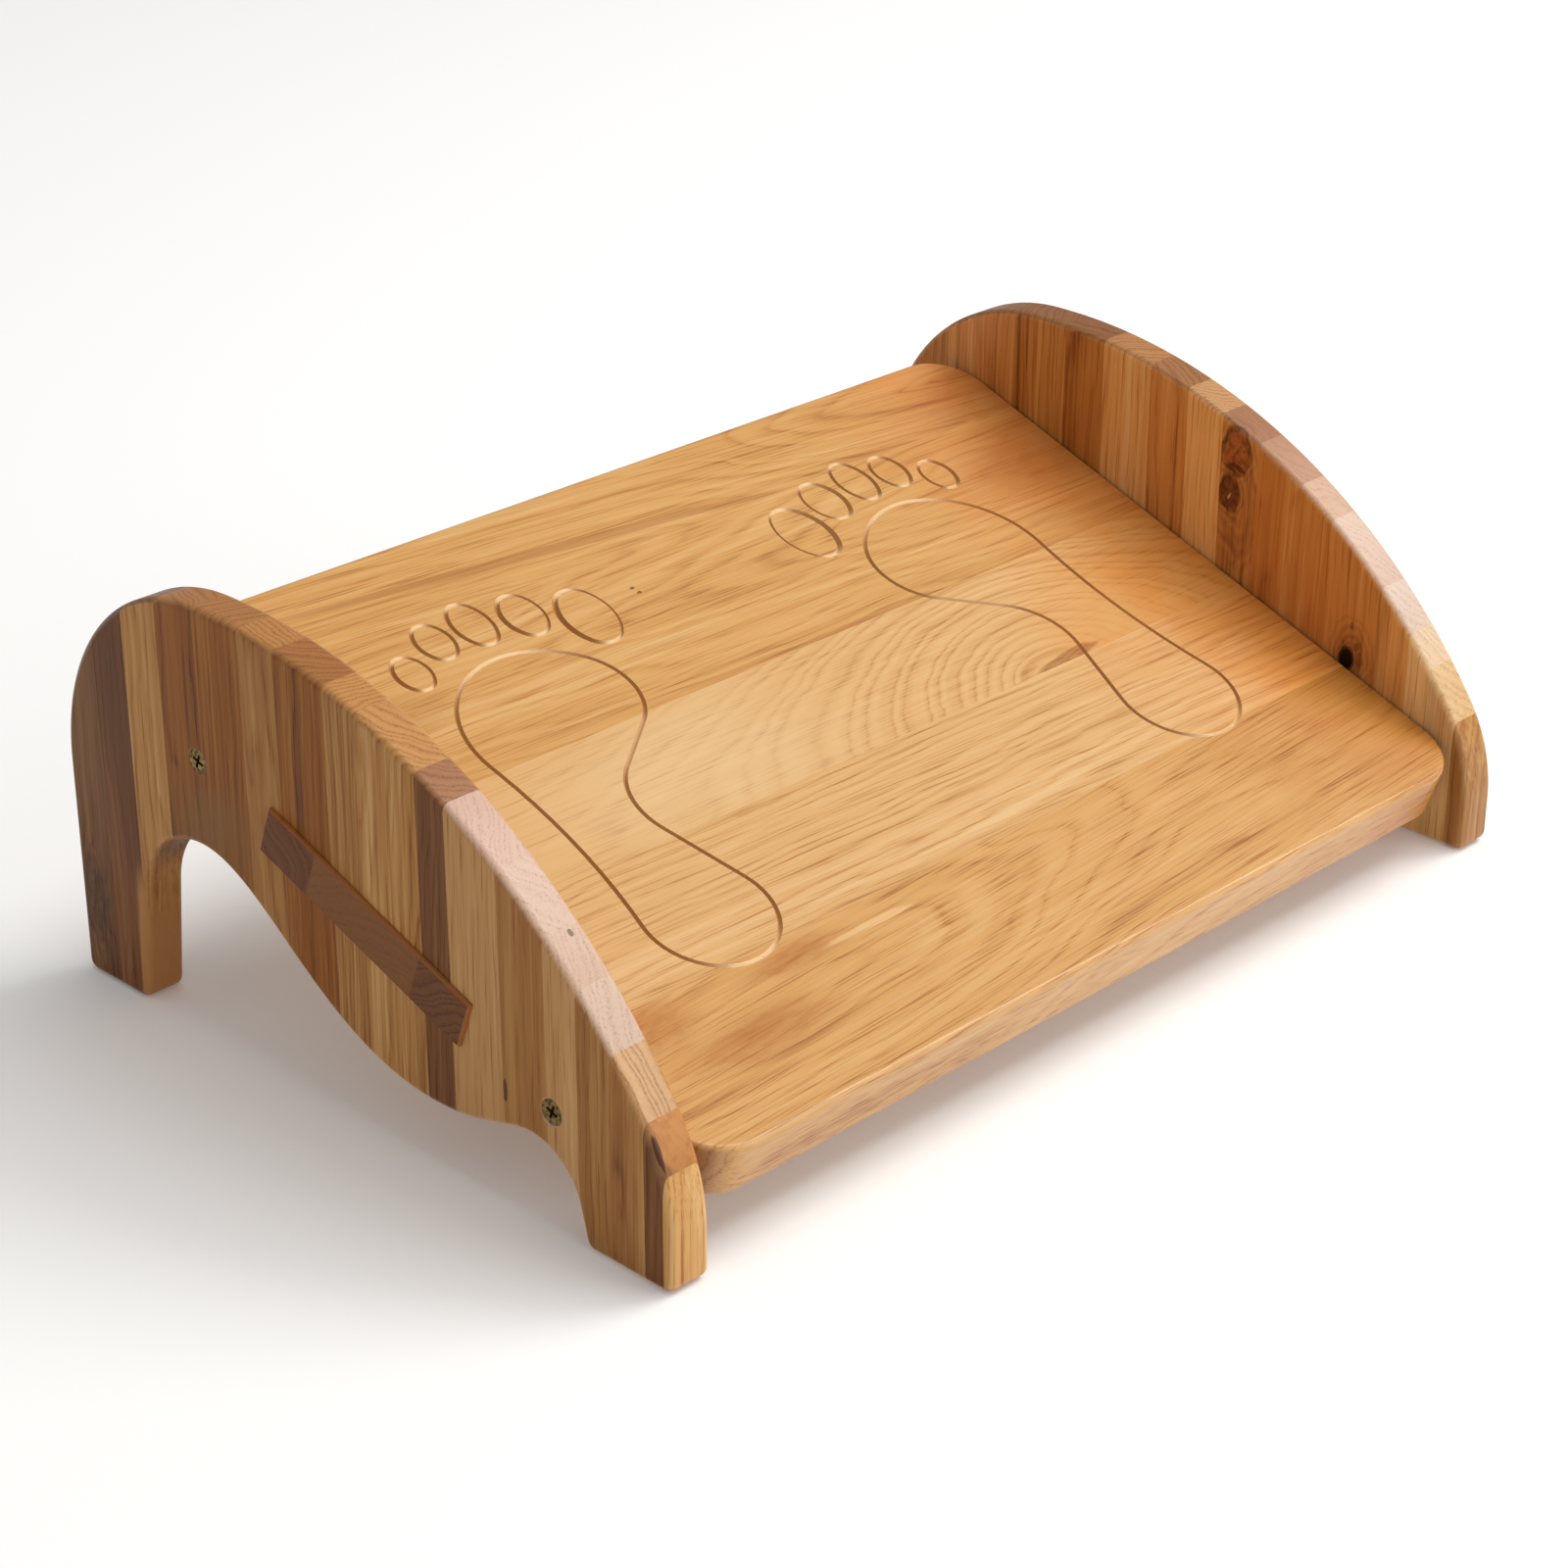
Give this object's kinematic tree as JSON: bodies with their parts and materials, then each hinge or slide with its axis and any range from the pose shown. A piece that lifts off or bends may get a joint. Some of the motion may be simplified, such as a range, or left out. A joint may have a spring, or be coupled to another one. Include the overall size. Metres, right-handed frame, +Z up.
{
  "type": "footrest",
  "caption": "Solid-wood under-desk footrest: a sloping footboard with routed footprints, tenoned and screwed between arched side panels of edge-glued staves.",
  "frame": {"origin": "centre of the bounding box in plan, on the floor under the side panels' feet", "axes": "+X across the footrest from the left panel to the right one as seen from its low front edge, +Y from the low front edge to the high back edge, +Z up"},
  "size_m": [0.403, 0.276, 0.15],
  "materials": {
    "panel_oak": "satin oiled",
    "footboard_oak": "satin oiled",
    "screw_steel": "yellow zinc plated"
  },
  "bodies": {
    "root": {"footboard_plank_1": "footboard_oak", "footboard_plank_2": "footboard_oak", "footboard_plank_3": "footboard_oak", "footboard_plank_4": "footboard_oak", "footboard_plank_5": "footboard_oak", "left_screws": "screw_steel", "left_stave_01": "panel_oak", "left_stave_02": "panel_oak", "left_stave_03": "panel_oak", "left_stave_04": "panel_oak", "left_stave_05": "panel_oak", "left_stave_06": "panel_oak", "left_stave_07_lower": "panel_oak", "left_stave_07_upper": "panel_oak", "left_stave_08_lower": "panel_oak", "left_stave_08_upper": "panel_oak", "left_stave_09_lower": "panel_oak", "left_stave_09_upper": "panel_oak", "left_stave_10_lower": "panel_oak", "left_stave_10_upper": "panel_oak", "left_stave_11": "panel_oak", "left_stave_12": "panel_oak", "left_stave_13": "panel_oak", "left_stave_14": "panel_oak", "left_stave_15": "panel_oak", "left_stave_16": "panel_oak", "left_stave_17": "panel_oak", "right_screws": "screw_steel", "right_stave_01": "panel_oak", "right_stave_02": "panel_oak", "right_stave_03": "panel_oak", "right_stave_04": "panel_oak", "right_stave_05": "panel_oak", "right_stave_06": "panel_oak", "right_stave_07_lower": "panel_oak", "right_stave_07_upper": "panel_oak", "right_stave_08_lower": "panel_oak", "right_stave_08_upper": "panel_oak", "right_stave_09_lower": "panel_oak", "right_stave_09_upper": "panel_oak", "right_stave_10_lower": "panel_oak", "right_stave_10_upper": "panel_oak", "right_stave_11": "panel_oak", "right_stave_12": "panel_oak", "right_stave_13": "panel_oak", "right_stave_14": "panel_oak", "right_stave_15": "panel_oak", "right_stave_16": "panel_oak", "right_stave_17": "panel_oak"}
  },
  "joints": []
}
